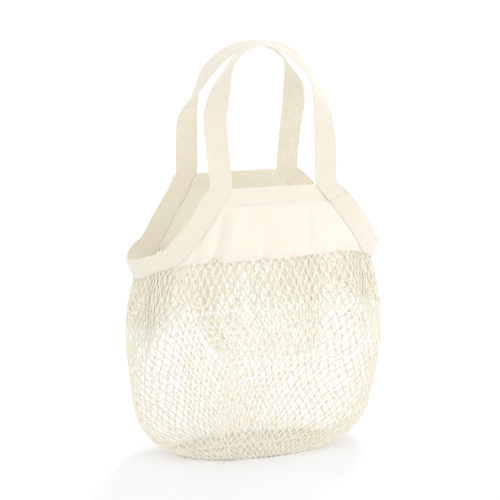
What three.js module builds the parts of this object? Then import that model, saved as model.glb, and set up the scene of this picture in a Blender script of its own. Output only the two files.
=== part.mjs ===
// A string shopping bag: a knotted cotton net hanging from a canvas collar, carried by two woven
// tape straps. It stands upright on its base with the handles up. Millimetres, X to the right,
// Y to the back, Z up, with the origin on the floor under the middle of the base.

import * as THREE from 'three';
import { mergeVertices } from 'three/addons/utils/BufferGeometryUtils.js';

// Net pouch
const BAG_HALF_WIDTH = 149;
const BAG_HALF_DEPTH = 77;
const SEAM_HEIGHT = 226;
const SEAM_DROP = 22;
const SEAM_RISE_RIGHT = 2;
const SEAM_DROP_POWER = 5;
const NET_THICKNESS = 2.4;
const NET_COLUMNS = 16;
const GATHER_DEPTH = 3;
const GATHER_FOLDS = 8;
const TUCK_HEIGHT = 8;
const BASE_PATCH = 0.45;
const HOLE_SHARE = 0.72;

// Canvas collar
const COLLAR_HEIGHT = 78;
const CANVAS_THICKNESS = 1.8;

// Woven tape
const TAPE_WIDTH = 25;
const TAPE_THICKNESS = 2.2;
const TAPE_FOOT_LEFT = 101;
const TAPE_FOOT_RIGHT = 114;
const HANDLE_HALF_SPAN = 59;
const HANDLE_HEIGHT = 147;
const HANDLE_SPACING = 27;
const HANDLE_SWAY = 5;

// Clearances between sewn pieces
const SEAM_GAP = 0.3;
const TUCK_GAP = 0.5;

// Sections of the net, from the floor to the seam. Height is a share of the seam's height, width and
// depth are shares of the bag's half width and half depth, and fullness squares the section off.
const NET_SECTIONS = [
  { height: 0, width: 0.625, depth: 0.61, fullness: 0.12 },
  { height: 0.027, width: 0.7, depth: 0.65, fullness: 0.12 },
  { height: 0.08, width: 0.81, depth: 0.73, fullness: 0.18 },
  { height: 0.2, width: 0.91, depth: 0.93, fullness: 0.23 },
  { height: 0.38, width: 0.965, depth: 0.99, fullness: 0.23 },
  { height: 0.57, width: 1, depth: 1, fullness: 0.18 },
  { height: 0.75, width: 0.99, depth: 0.95, fullness: 0.12 },
  { height: 0.88, width: 0.965, depth: 0.88, fullness: 0 },
  { height: 1, width: 0.925, depth: 0.83, fullness: -0.1 },
];

// Sections of the collar, from the seam to the mouth. Height is a share of the collar's height.
const COLLAR_SECTIONS = [
  { height: 0, width: 0.925, depth: 0.83, fullness: -0.1 },
  { height: 0.22, width: 0.98, depth: 0.85, fullness: 0.14 },
  { height: 0.5, width: 0.99, depth: 0.85, fullness: 0.42 },
  { height: 1, width: 0.99, depth: 0.78, fullness: 0.63 },
];

// Rows of knots, from the solid patch in the base to the seam. Spread is a share of the base's
// outline, height a share of the seam's height, and folds the depth of the gathers there.
const KNOT_ROWS = [
  { spread: BASE_PATCH, height: 0, folds: 0 },
  { spread: 1, height: 0, folds: 0 },
  { spread: 1, height: 0.12, folds: 0 },
  { spread: 1, height: 0.27, folds: 0 },
  { spread: 1, height: 0.42, folds: 0.1 },
  { spread: 1, height: 0.57, folds: 0.35 },
  { spread: 1, height: 0.72, folds: 0.7 },
  { spread: 1, height: 0.87, folds: 1 },
  { spread: 1, height: 1, folds: 0 },
];

// The tape's inner edge on the collar. Along runs from the side corner, 0, past the tape's foot,
// 1, to the mouth, 2. Rise is a share of the collar's height, inward a share of the way from the
// foot to the handle's leg, breadth a share of the tape's width, and tilt the angle of the tape's
// width above level, in degrees.
const TAPE_ROWS = [
  { along: 0, rise: 0, inward: 0, breadth: 0.9, tilt: 90 },
  { along: 0.5, rise: 0, inward: 0, breadth: 0.92, tilt: 76 },
  { along: 1, rise: 0, inward: 0, breadth: 1, tilt: 56 },
  { along: 1.2, rise: 0.16, inward: 0.19, breadth: 1, tilt: 46 },
  { along: 1.4, rise: 0.35, inward: 0.39, breadth: 1, tilt: 40 },
  { along: 1.65, rise: 0.6, inward: 0.63, breadth: 1, tilt: 36 },
  { along: 1.85, rise: 0.84, inward: 0.86, breadth: 1, tilt: 20 },
  { along: 2, rise: 1, inward: 1, breadth: 1, tilt: 0 },
];

// One half of a handle, from the mouth to its top. Rise is a share of the handle's height, reach
// of its half span, lean of the way from its top's place to the mouth's, sway of how far its top
// stands to the right, and turn of a quarter turn of the tape about its own length.
const HANDLE_ROWS = [
  { along: 0, rise: 0, reach: 1, lean: 1, sway: 0, turn: 0 },
  { along: 0.22, rise: 0.25, reach: 1.03, lean: 0.88, sway: 0, turn: 0 },
  { along: 0.42, rise: 0.46, reach: 1.04, lean: 0.7, sway: 0.1, turn: 0.14 },
  { along: 0.55, rise: 0.6, reach: 0.98, lean: 0.54, sway: 0.4, turn: 0.45 },
  { along: 0.67, rise: 0.73, reach: 0.87, lean: 0.37, sway: 0.7, turn: 0.76 },
  { along: 0.77, rise: 0.83, reach: 0.73, lean: 0.23, sway: 0.8, turn: 1 },
  { along: 0.86, rise: 0.92, reach: 0.53, lean: 0.11, sway: 0.9, turn: 1.08 },
  { along: 0.94, rise: 0.98, reach: 0.27, lean: 0.03, sway: 1, turn: 1.06 },
  { along: 1, rise: 1, reach: 0, lean: 0, sway: 1, turn: 1.04 },
];

// How finely the soft faces are divided
const CANVAS_COLUMNS = 26;
const CANVAS_ROWS = 8;
const TAPE_STRIPS = 3;
const COLLAR_STATIONS = 15;
const HANDLE_STATIONS = 15;
const WALK_STEPS = 6;
const STEP = 0.001;

const canvasMiddle = CANVAS_THICKNESS / 2;
const tapeOuter = canvasMiddle - TAPE_THICKNESS / 2;
const tapeInner = canvasMiddle + TAPE_THICKNESS / 2;
const tuckDepth = Math.max(tapeInner, CANVAS_THICKNESS) + TUCK_GAP;
const legInner = HANDLE_HALF_SPAN - TAPE_WIDTH / 2;
const lastRow = KNOT_ROWS.length - 1;

// A smooth curve through one column of a table that never swings past its rows.
function column(rows, key, name) {
  const x = rows.map((row) => row[key]);
  const y = rows.map((row) => row[name]);
  const rate = x.slice(1).map((value, i) => (y[i + 1] - y[i]) / (value - x[i]));
  const slope = x.map((value, i) => {
    if (i === 0 || i === x.length - 1) return rate[Math.min(i, rate.length - 1)];
    const before = rate[i - 1];
    const after = rate[i];
    return before * after <= 0 ? 0 : (2 * before * after) / (before + after);
  });
  return (value) => {
    let i = 0;
    while (i < rate.length - 1 && value > x[i + 1]) i += 1;
    const span = x[i + 1] - x[i];
    const t = THREE.MathUtils.clamp((value - x[i]) / span, 0, 1);
    const u = 1 - t;
    return y[i] * u * u * (1 + 2 * t) + y[i + 1] * t * t * (3 - 2 * t)
      + span * t * u * (slope[i] * u - slope[i + 1] * t);
  };
}

function sections(rows) {
  const width = column(rows, 'height', 'width');
  const depth = column(rows, 'height', 'depth');
  const fullness = column(rows, 'height', 'fullness');
  return (height) => ({
    width: BAG_HALF_WIDTH * width(height),
    depth: BAG_HALF_DEPTH * depth(height),
    fullness: fullness(height),
  });
}

const netSection = sections(NET_SECTIONS);
const collarSection = sections(COLLAR_SECTIONS);

// A point of a section: an ellipse whose shoulders are filled out by the fullness.
function onSection(section, angle, z) {
  const across = Math.cos(angle);
  const along = Math.sin(angle) * (1 + section.fullness * across * across);
  return new THREE.Vector3(section.width * across, section.depth * along, z);
}

// The seam's height, which drops to the side corners and is a little higher on the right.
function seamAt(angle) {
  const across = Math.cos(angle);
  return SEAM_HEIGHT - SEAM_DROP * Math.abs(across) ** SEAM_DROP_POWER + SEAM_RISE_RIGHT * across;
}

// The net's face at an angle round the bag and a height from 0 at the floor to 1 at the seam. Its
// upper half follows the drop of the seam more and more.
function netFace(angle, height, spread) {
  const sag = THREE.MathUtils.clamp(2 * height - 1, 0, 1) ** 2;
  const z = height * SEAM_HEIGHT - sag * (SEAM_HEIGHT - seamAt(angle));
  const point = onSection(netSection(height), angle, z);
  point.x *= spread;
  point.y *= spread;
  return point;
}

// The collar's face at an angle and a rise from 0 at the seam to 1 at the mouth.
function collarFace(angle, rise) {
  const seam = seamAt(angle);
  const mouth = SEAM_HEIGHT + COLLAR_HEIGHT;
  return onSection(collarSection(rise), angle, seam + rise * (mouth - seam));
}

// The outward normal of a face from two small steps on it.
function normalOf(face, u, v) {
  const du = face(u + STEP, v).sub(face(u - STEP, v));
  const dv = face(u, v + STEP).sub(face(u, v - STEP));
  return du.cross(dv).normalize();
}

// Triangles gathered as loose corners, joined into one closed geometry at the end.
class Faces {
  constructor() {
    this.corners = [];
  }

  triangle(a, b, c) {
    for (const point of [a, b, c]) this.corners.push(point.x, point.y, point.z);
  }

  quad(a, b, c, d) {
    this.triangle(a, b, c);
    this.triangle(a, c, d);
  }

  geometry() {
    const loose = new THREE.BufferGeometry();
    loose.setAttribute('position', new THREE.Float32BufferAttribute(this.corners, 3));
    const merged = mergeVertices(loose, 1e-3);
    merged.computeVertexNormals();
    return merged;
  }
}

// A wall between an outer and an inner grid of points, closed along its four edges, or along its
// first and last rows alone where it goes all the way round.
function wall(faces, outer, inner) {
  const rows = outer.length;
  const columns = outer[0].length;
  for (let i = 0; i + 1 < rows; i += 1) {
    for (let j = 0; j + 1 < columns; j += 1) {
      faces.quad(outer[i][j], outer[i][j + 1], outer[i + 1][j + 1], outer[i + 1][j]);
      faces.quad(inner[i][j], inner[i + 1][j], inner[i + 1][j + 1], inner[i][j + 1]);
    }
    faces.quad(outer[i][0], outer[i + 1][0], inner[i + 1][0], inner[i][0]);
    const last = columns - 1;
    faces.quad(outer[i][last], inner[i][last], inner[i + 1][last], outer[i + 1][last]);
  }
  const top = rows - 1;
  for (let j = 0; j + 1 < columns; j += 1) {
    faces.quad(outer[0][j], inner[0][j], inner[0][j + 1], outer[0][j + 1]);
    faces.quad(outer[top][j], outer[top][j + 1], inner[top][j + 1], inner[top][j]);
  }
}

// Net pouch

const knotRows = KNOT_ROWS.map((row, i) => ({ ...row, row: i }));
const rowSpread = column(knotRows, 'row', 'spread');
const rowHeight = column(knotRows, 'row', 'height');
const rowFolds = column(knotRows, 'row', 'folds');

function netAngle(place) {
  return ((place % NET_COLUMNS) * 2 * Math.PI) / NET_COLUMNS;
}

// A point of the net between its outer and inner faces, with the gathers pushed in and out and
// the last row drawn in under the collar. Place counts columns round the bag.
function netPoint(place, row, depth) {
  const angle = netAngle(place + NET_COLUMNS);
  const face = (u, v) => netFace(u, rowHeight(v), rowSpread(v));
  const point = face(angle, row);
  const normal = normalOf(face, angle, THREE.MathUtils.clamp(row, STEP, lastRow - STEP));
  if (row < 1) normal.set(0, 0, -1);
  const fold = GATHER_DEPTH * rowFolds(row) * Math.cos(GATHER_FOLDS * angle);
  const tuck = tuckDepth * THREE.MathUtils.clamp(row - lastRow + 1, 0, 1);
  return point.addScaledVector(normal, fold - tuck - depth);
}

// One knotted cell: a ring from its diamond outline to the gap inside it, on both faces of the
// net, and the wall of the gap.
function netCell(faces, place, row) {
  const half = [[0.5, 0], [0.25, 0.5], [0, 1], [-0.25, 0.5]];
  const corners = [...half, ...half.map(([side, up]) => [-side, -up])];
  const ring = (share, depth) => corners.map(([side, up]) => (
    netPoint(place + side * share, row + up * share, depth)));
  const rim = ring(1, 0);
  const lip = ring(HOLE_SHARE, 0);
  const innerRim = ring(1, NET_THICKNESS);
  const innerLip = ring(HOLE_SHARE, NET_THICKNESS);
  for (let i = 0; i < corners.length; i += 1) {
    const k = (i + 1) % corners.length;
    faces.quad(rim[i], rim[k], lip[k], lip[i]);
    faces.quad(innerRim[i], innerLip[i], innerLip[k], innerRim[k]);
    faces.quad(lip[i], lip[k], innerLip[k], innerLip[i]);
  }
}

// The half diamond left between two cells at the first or last row, which stays solid.
function netHalfCell(faces, place, row, up) {
  const outline = [[-0.5, 0], [-0.25, 0.5], [0, 1], [0.25, 0.5], [0.5, 0]];
  for (const depth of [0, NET_THICKNESS]) {
    const middle = netPoint(place, row, depth);
    const points = outline.map(([side, way]) => netPoint(place + side, row + way * up, depth));
    for (let i = 0; i + 1 < points.length; i += 1) {
      const flip = (depth > 0) !== (up < 0);
      if (flip) faces.triangle(middle, points[i], points[i + 1]);
      else faces.triangle(middle, points[i + 1], points[i]);
    }
  }
}

function netPouch() {
  const faces = new Faces();
  for (let row = 1; row < lastRow; row += 1) {
    const shift = (row % 2) / 2;
    for (let i = 0; i < NET_COLUMNS; i += 1) netCell(faces, i + shift, row);
  }
  const places = Array.from({ length: 2 * NET_COLUMNS + 1 }, (value, i) => i / 2);
  for (let i = 0; i < NET_COLUMNS; i += 1) {
    netHalfCell(faces, i, 0, 1);
    netHalfCell(faces, i, lastRow, -1);
  }
  const centre = new THREE.Vector3(0, 0, 0);
  const innerCentre = new THREE.Vector3(0, 0, NET_THICKNESS);
  for (let i = 0; i + 1 < places.length; i += 1) {
    const edge = [places[i], places[i + 1]];
    const [a, b] = edge.map((place) => netPoint(place, 0, 0));
    const [c, d] = edge.map((place) => netPoint(place, 0, NET_THICKNESS));
    faces.triangle(centre, b, a);
    faces.triangle(innerCentre, c, d);
    const [e, f] = edge.map((place) => netPoint(place, lastRow, 0));
    const [g, h] = edge.map((place) => netPoint(place, lastRow, NET_THICKNESS));
    const raise = (point) => point.clone().setZ(point.z + TUCK_HEIGHT);
    faces.quad(e, f, raise(f), raise(e));
    faces.quad(h, g, raise(g), raise(h));
    faces.quad(raise(e), raise(f), raise(h), raise(g));
  }
  return faces.geometry();
}

// The tape's inner edge on the collar

const tapeRise = column(TAPE_ROWS, 'along', 'rise');
const tapeInward = column(TAPE_ROWS, 'along', 'inward');
const tapeBreadth = column(TAPE_ROWS, 'along', 'breadth');
const tapeTilt = column(TAPE_ROWS, 'along', 'tilt');

function angleOf(x, rise) {
  return Math.acos(x / collarSection(rise).width);
}

// The angle from the side corner to the tape's inner edge, for a foot at some distance from the
// middle of the bag.
function seamAngle(along, foot) {
  if (along <= 1) return along * angleOf(foot, 0);
  return angleOf(foot + tapeInward(along) * (legInner - foot), tapeRise(along));
}

// The along value at which the inner edge has a given rise.
function alongAt(rise) {
  let low = 1;
  let high = 2;
  for (let i = 0; i < 40; i += 1) {
    const middle = (low + high) / 2;
    if (tapeRise(middle) < rise) low = middle;
    else high = middle;
  }
  return (low + high) / 2;
}

// Canvas panel: the back half of the collar between the feet and legs of the tape.

function canvasPanel() {
  const outer = [];
  const inner = [];
  for (let i = 0; i <= CANVAS_ROWS; i += 1) {
    const rise = i / CANVAS_ROWS;
    const [left, right] = [TAPE_FOOT_LEFT, TAPE_FOOT_RIGHT].map((foot) => {
      const edge = seamAngle(alongAt(rise), foot);
      const speed = collarFace(edge + STEP, rise).distanceTo(collarFace(edge, rise)) / STEP;
      return edge + (2 * SEAM_GAP) / speed;
    });
    const row = [];
    const back = [];
    for (let j = 0; j <= CANVAS_COLUMNS; j += 1) {
      const angle = right + ((Math.PI - left - right) * j) / CANVAS_COLUMNS;
      const point = collarFace(angle, rise);
      const normal = normalOf(collarFace, angle, Math.min(rise, 1 - STEP));
      row.push(point);
      back.push(point.clone().addScaledVector(normal, -CANVAS_THICKNESS));
    }
    outer.push(row);
    inner.push(back);
  }
  const faces = new Faces();
  wall(faces, outer, inner);
  return faces.geometry();
}

// Strap

// Walks over a face from a point, tilted above level by an angle, for a distance.
function walk(face, angle, rise, tilt, distance) {
  const pace = distance / WALK_STEPS;
  let u = angle;
  let v = rise;
  for (let i = 0; i < WALK_STEPS; i += 1) {
    const round = face(u + STEP, v).sub(face(u - STEP, v)).divideScalar(2 * STEP);
    const up = face(u, v + STEP).sub(face(u, v - STEP)).divideScalar(2 * STEP);
    const level = round.clone().normalize();
    const climb = up.clone().addScaledVector(level, -up.dot(level));
    const rising = (Math.sin(tilt) * pace) / climb.length();
    u += (-Math.cos(tilt) * pace - rising * up.dot(level)) / round.length();
    v += rising;
  }
  return [Math.max(u, 0), v];
}

// Rows of points across the tape, each with its outer and inner face, from a side corner to the
// mouth. Side is 1 on the right and -1 on the left, where the face is the right one's mirror.
function tapeOnCollar(side, foot) {
  const face = (u, v) => collarFace(side > 0 ? u : Math.PI - u, v);
  const rows = [];
  for (let i = 0; i < COLLAR_STATIONS; i += 1) {
    const along = (2 * i) / COLLAR_STATIONS;
    const angle = seamAngle(along, foot);
    const rise = tapeRise(along);
    const tilt = THREE.MathUtils.degToRad(tapeTilt(along));
    const row = [];
    for (let k = 0; k <= TAPE_STRIPS; k += 1) {
      const distance = (tapeBreadth(along) * TAPE_WIDTH * k) / TAPE_STRIPS;
      const [u, v] = walk(face, angle, rise, tilt, distance);
      const normal = normalOf(face, u, v).multiplyScalar(side);
      row.push([tapeOuter, tapeInner].map((depth) => {
        const point = face(u, v).addScaledVector(normal, -depth);
        point.y = Math.max(point.y, SEAM_GAP / 2);
        return point;
      }));
    }
    rows.push(row);
  }
  return rows;
}

const handleRise = column(HANDLE_ROWS, 'along', 'rise');
const handleReach = column(HANDLE_ROWS, 'along', 'reach');
const handleLean = column(HANDLE_ROWS, 'along', 'lean');
const handleSway = column(HANDLE_ROWS, 'along', 'sway');
const handleTurn = column(HANDLE_ROWS, 'along', 'turn');

function handlePoint(along, side) {
  const top = HANDLE_SPACING / 2;
  const mouth = collarSection(1).depth - canvasMiddle;
  return new THREE.Vector3(
    side * HANDLE_HALF_SPAN * handleReach(along) + HANDLE_SWAY * handleSway(along),
    top + handleLean(along) * (mouth - top),
    SEAM_HEIGHT + COLLAR_HEIGHT + HANDLE_HEIGHT * handleRise(along),
  );
}

// Rows of points across the tape from the mouth to the handle's top. The tape lies flat to the
// panel in the leg and has turned its outer face upwards at the top.
function tapeOnHandle(side) {
  const inwards = new THREE.Vector3(0, -1, 0);
  const rows = [];
  for (let i = 0; i <= HANDLE_STATIONS; i += 1) {
    const along = i / HANDLE_STATIONS;
    const ahead = handlePoint(Math.min(along + STEP, 1), side);
    const tangent = ahead.sub(handlePoint(Math.max(along - STEP, 0), side));
    if (i === HANDLE_STATIONS) tangent.set(-side, 0, 0);
    tangent.normalize();
    const lean = inwards.clone().addScaledVector(tangent, -inwards.dot(tangent)).normalize();
    const radial = tangent.clone().cross(lean).multiplyScalar(side).normalize();
    const turn = (handleTurn(along) * Math.PI) / 2;
    const across = radial.clone().multiplyScalar(Math.cos(turn)).addScaledVector(lean, Math.sin(turn));
    const facing = radial.clone().multiplyScalar(Math.sin(turn)).addScaledVector(lean, -Math.cos(turn));
    const row = [];
    for (let k = 0; k <= TAPE_STRIPS; k += 1) {
      const offset = (k / TAPE_STRIPS - 1 / 2) * TAPE_WIDTH;
      row.push([TAPE_THICKNESS / 2, -TAPE_THICKNESS / 2].map((depth) => (
        handlePoint(along, side).addScaledVector(across, offset).addScaledVector(facing, depth))));
    }
    rows.push(row);
  }
  return rows;
}

function strap() {
  const right = [...tapeOnCollar(1, TAPE_FOOT_RIGHT), ...tapeOnHandle(1)];
  const left = [...tapeOnCollar(-1, TAPE_FOOT_LEFT), ...tapeOnHandle(-1)];
  const rows = [...right, ...left.reverse().slice(1)];
  const [outer, inner] = [0, 1].map((face) => rows.map((row) => row.map((pair) => pair[face]).reverse()));
  const faces = new Faces();
  wall(faces, outer, inner);
  return faces.geometry();
}

// The same piece on the front of the bag: mirrored, with its faces turned out again.
function onTheFront(geometry) {
  const front = geometry.clone().scale(1, -1, 1);
  const index = front.getIndex();
  for (let i = 0; i < index.count; i += 3) {
    const second = index.getX(i + 1);
    index.setX(i + 1, index.getX(i + 2));
    index.setX(i + 2, second);
  }
  front.computeVertexNormals();
  return front;
}

// The assembled bag

function cotton(color, roughness) {
  return new THREE.MeshStandardMaterial({ color, roughness, metalness: 0 });
}

const bag = new THREE.Group();

function add(name, geometry, material) {
  const mesh = new THREE.Mesh(geometry, material);
  mesh.name = name;
  bag.add(mesh);
}

add('net_pouch', netPouch(), cotton(0xefe6cf, 0.95));
add('back_canvas', canvasPanel(), cotton(0xf4eddb, 0.9));
add('front_canvas', onTheFront(canvasPanel()), cotton(0xf4eddb, 0.9));
add('back_strap', strap(), cotton(0xf1e8d2, 0.88));
add('front_strap', onTheFront(strap()), cotton(0xf1e8d2, 0.88));

export default bag;
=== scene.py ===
"""A string shopping bag: a knotted cotton net under a canvas collar, with two woven tape straps.

Shapes are worked out in millimetres, X to the right, Y to the back and Z up, and put into the
meshes in metres.
"""

import math

import bpy
import numpy as np
from bpy.props import FloatProperty, FloatVectorProperty, IntProperty, PointerProperty
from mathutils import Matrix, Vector


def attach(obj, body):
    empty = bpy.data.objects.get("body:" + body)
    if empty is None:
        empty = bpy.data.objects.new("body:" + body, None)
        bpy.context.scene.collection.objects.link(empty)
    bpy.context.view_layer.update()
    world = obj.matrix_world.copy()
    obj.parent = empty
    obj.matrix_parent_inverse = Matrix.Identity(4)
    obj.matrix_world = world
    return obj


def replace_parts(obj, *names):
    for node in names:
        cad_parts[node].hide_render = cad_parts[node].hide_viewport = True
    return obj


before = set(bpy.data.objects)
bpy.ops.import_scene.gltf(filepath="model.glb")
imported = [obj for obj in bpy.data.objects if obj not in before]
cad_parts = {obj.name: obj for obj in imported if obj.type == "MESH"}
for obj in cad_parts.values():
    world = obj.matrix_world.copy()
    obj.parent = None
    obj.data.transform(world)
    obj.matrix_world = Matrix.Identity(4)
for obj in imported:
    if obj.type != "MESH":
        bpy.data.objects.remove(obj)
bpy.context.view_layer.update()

bl_info = {
    "name": "String shopping bag",
    "version": (1, 0, 0),
    "blender": (4, 5, 0),
    "location": "3D View > Sidebar > String bag",
    "description": "Builds a cotton net bag with a canvas collar and tape handles",
    "category": "Add Mesh",
}

MM = 0.001
BODY = "root"

# The bag's shape in mm, as in the solids of the frame. The tape's feet stand off its middle by
# another length on the left, -1, than on the right, 1.
BAG_HALF_WIDTH = 149
BAG_HALF_DEPTH = 77
SEAM_HEIGHT = 226
SEAM_DROP = 22
SEAM_DROP_POWER = 5
SEAM_RISE_RIGHT = 2
COLLAR_HEIGHT = 78
MOUTH_HEIGHT = SEAM_HEIGHT + COLLAR_HEIGHT
TAPE_FOOT = {-1: 101, 1: 114}
HANDLE_HALF_SPAN = 59
HANDLE_HEIGHT = 147
HANDLE_SPACING = 27
HANDLE_SWAY = 5
CLOTH_MIDDLE = 0.9

# The small step from which slopes are worked out, in radians or as a share.
STEP = 0.001

# Sections of the net: share of the seam's height, width and depth as shares of the bag's half
# width and half depth, and fullness of the shoulders. The collar's go by share of its height.
NET_SECTIONS = (
    (0, 0.625, 0.61, 0.12),
    (0.027, 0.7, 0.65, 0.12),
    (0.08, 0.81, 0.73, 0.18),
    (0.2, 0.91, 0.93, 0.23),
    (0.38, 0.965, 0.99, 0.23),
    (0.57, 1, 1, 0.18),
    (0.75, 0.99, 0.95, 0.12),
    (0.88, 0.965, 0.88, 0),
    (1, 0.925, 0.83, -0.1),
)
COLLAR_SECTIONS = (
    (0, 0.925, 0.83, -0.1),
    (0.22, 0.98, 0.85, 0.14),
    (0.5, 0.99, 0.85, 0.42),
    (1, 0.99, 0.78, 0.63),
)

# The tape's inner edge on the collar: place from the side corner, 0, past the foot, 1, to the
# mouth, 2, rise as a share of the collar's height, way from the foot to the leg, breadth as a
# share of the tape's width, and tilt of the width above level in degrees.
TAPE_ROWS = (
    (0, 0, 0, 0.9, 90),
    (0.5, 0, 0, 0.92, 76),
    (1, 0, 0, 1, 56),
    (1.2, 0.16, 0.19, 1, 46),
    (1.4, 0.35, 0.39, 1, 40),
    (1.65, 0.6, 0.63, 1, 36),
    (1.85, 0.84, 0.86, 1, 20),
    (2, 1, 1, 1, 0),
)

# One half of a handle, from the mouth, 0, to its top, 1: rise, reach, lean and sway as shares.
HANDLE_ROWS = (
    (0, 0, 1, 1, 0),
    (0.22, 0.25, 1.03, 0.88, 0),
    (0.42, 0.46, 1.04, 0.7, 0.1),
    (0.55, 0.6, 0.98, 0.54, 0.4),
    (0.67, 0.73, 0.87, 0.37, 0.7),
    (0.77, 0.83, 0.73, 0.23, 0.8),
    (0.86, 0.92, 0.53, 0.11, 0.9),
    (0.94, 0.98, 0.27, 0.03, 1),
    (1, 1, 0, 0, 1),
)

# How far each leg's tape has turned about its own length, in degrees. Legs are named by the side
# of the bag, -1 in front and 1 at the back, and the side of the leg, -1 left and 1 right.
TWIST_START = (0, 0), (0.22, 0), (0.42, 14), (0.55, 38)
TWIST_ROWS = {
    (-1, -1): (*TWIST_START, (0.66, 63), (0.75, 88), (0.86, 96), (1, 86)),
    (-1, 1): (*TWIST_START, (0.66, 62), (0.75, 68), (0.86, 60), (0.93, 72), (1, 86)),
    (1, -1): (*TWIST_START[:2], (0.41, 10), (0.5, 34), (0.57, 70), (0.64, 96), (0.73, 104),
              (0.86, 102), (1, 96)),
    (1, 1): (*TWIST_START, (0.66, 66), (0.75, 96), (0.82, 110), (0.88, 112), (0.94, 104), (1, 96)),
}

# Legs that curl: how far the outer edge runs ahead of the middle in the twist, as a share of the
# leg, and how far the leg bulges outwards there, in mm, at a place and over a breadth, as shares.
CURLS = {(1, -1): (0.12, 4)}
CURL_PLACE = 0.57
CURL_BREADTH = 0.13

# Rows of the net, in half cells from the seam under the base: spread over the base, share of the
# seam's height, depth of the gathers, depth behind the face and rise behind the collar in mm.
NET_ROWS = (
    (0, 0, 0, 0, 1.3, 0),
    (8, 1, 0, 0, 1.3, 0),
    (16, 1, 0.2, 0, 1.3, 0),
    (23, 1, 0.42, 0.08, 1.3, 0),
    (29, 1, 0.645, 0.4, 1.3, 0),
    (34, 1, 0.84, 0.8, 1, 0),
    (36, 1, 0.93, 0.6, 0.5, 0),
    (37, 1, 0.975, 0.3, 0.7, 0),
    (38, 1, 1, 0.15, 1.5, 0),
    (39, 1, 1, 0.1, 3, 6),
)
LAST_ROW = NET_ROWS[-1][0]

# By row of the net: how far its cells are spread in front, or behind where it is below nought, and
# how far they are evened out round the bag, both in radians.
SPREAD_ROWS = (8, 15, 27, 36), (0.08, 0.12, -0.12, -0.05)
EVEN_ROWS = (8, 15, 24, 32), (0.46, 0.42, 0.32, 0.22)

# Measures of the net in mm, and how many gathers and broad folds it has round the bag.
MEAN_RADIUS = 112
ROW_HEIGHT = 7.6
KNOT_ROW_HEIGHT = 7
FLOOR_GAP = 1.3
GATHER_DEPTH = 3
FOLD_DEPTH = 2.5
SWELL_DEPTH = 1.2
GATHERS = 28
FOLDS = 8

# The seam under the base as a share of the base's width, how far the knots are drawn out of place
# in cells and rows, how much of a yarn's way is an S, and how much its thickness changes.
BASE_SEAM_REACH = 0.86
KNOT_DRIFT = 0.085, 0.1
YARN_BEND = 0.65
YARN_UNEVEN = 0.12
RIPPLES_SEED = 11
KNOTS_SEED = 5
YARN_SEED = 3

# Places where the net is bunched or, below nought, spread: angle in degrees, share of the seam's
# height, width in cells, height in rows, strength across and upwards.
BUNCHES = (
    (-119, 0.66, 2.2, 10, 0.4, 0),
    (-121, 0.14, 3.4, 8, 0.4, 0),
    (-40, 0.2, 3.4, 8, 0.35, 0),
    (-141, 0.47, 4, 6, -0.5, 0.45),
    (-70, 0.8, 2.4, 7, 0.25, 0),
    (-150, 0.92, 4, 6, 0.55, 0),
    (-38, 0.88, 3, 7, 0.4, 0),
    (60, 0.75, 3, 10, 0.35, 0),
    (112, 0.6, 3, 10, 0.35, 0),
)

# Pleats of the net behind its upper part: angle and half width in degrees, share of the seam's
# height where they start, shift in cells, and depth in mm.
PLEATS = (
    (0, 180, 0.66, 0.5, 2.4),
    (-152, 20, 0.7, 0.35, 2.5),
    (-147, 12, 0.76, -0.3, 4.5),
    (-36, 16, 0.74, 0.8, 5),
    (-94, 26, 0.45, 0.4, 3),
    (-123, 6, 0.47, 0.4, 3.5),
    (35, 20, 0.72, 0.7, 6),
    (150, 20, 0.7, 0.7, 6),
)

# Places where the net has turned in its own surface: angle in degrees, share of the seam's
# height, radius in mm, and turn in degrees.
SWIRLS = (
    (-140, 0.48, 34, 46),
    (-52, 0.42, 20, -14),
    (-100, 0.2, 18, 10),
    (-20, 0.6, 22, 18),
    (172, 0.55, 26, -26),
    (140, 0.6, 22, 18),
    (80, 0.5, 24, -12),
    (35, 0.35, 22, 16),
)

# Soft dents of each canvas panel: place across in mm at its foot, lean in mm over the collar's
# height, width in mm, depth in mm, lowest and highest share of the collar's height.
DENTS = {
    -1: ((-66, 14, 4.2, 5.5, 0, 0.85), (-56, 14, 5, -2.4, 0, 0.8), (-86, 6, 4, 2.4, 0, 0.45),
         (-12, 0, 5, 2.4, 0, 0.65), (37, 3, 5, 2.2, 0.1, 0.85), (78, -4, 5, 1.4, 0, 0.45)),
    1: ((-62, 5, 8, 1.4, 0, 0.7), (-20, 0, 9, 1, 0, 0.8), (24, 0, 7, 1.3, 0, 0.6),
        (66, -5, 8, 1.2, 0.1, 0.8)),
}

# How deep the groove between each canvas panel and the tape is, in mm: on the left, on the right.
GROOVES = {-1: (0, 1.6), 1: (1.5, 1.5)}

# Slanted edges that bow: how far one is drawn inwards halfway up, as a share of its whole way
# inwards, and how much steeper the tape's width stands at its foot, in degrees.
EDGE_BOWS = {(1, -1): (0.1, 10)}

# How much longer a leaning panel is than the collar's height, as a factor, how thick one layer of
# canvas is as a share of its hem, and how thick the very rim of a cloth's rounded edge is.
ONE_LAYER = 0.88
RIM = 0.08

# How far the canvas runs on inside the folded tape, and how far below the mouth a leg's tape laps
# over the slanted tape and stands up there, in mm.
TUCK = 2
LAP_DROP = 13
LAP_RISE = 1.8

# Points of a panel, up and across: how many even ones, the places of fine ones in from each end
# and the span, in mm. Then the rows round the hem's lower edge, in mm.
PANEL_UP = 40, (0, 0.3, 0.8, 1.5, 2.5), COLLAR_HEIGHT
PANEL_ACROSS = 150, (0, 0.6, 1.3, 1.7, 2, 2.3, 2.7, 3.3, 4.2), 174
HEM_ROWS = (-1.2, -0.5, 0, 0.5)

# Points of a strap: fine ones in from each edge in mm, then from where and how many even ones.
TAPE_EDGE = (0, 0.25, 0.6, 1.1, 1.8, 2.7, 4, 6)
TAPE_MIDDLE = 8, 7

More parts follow.
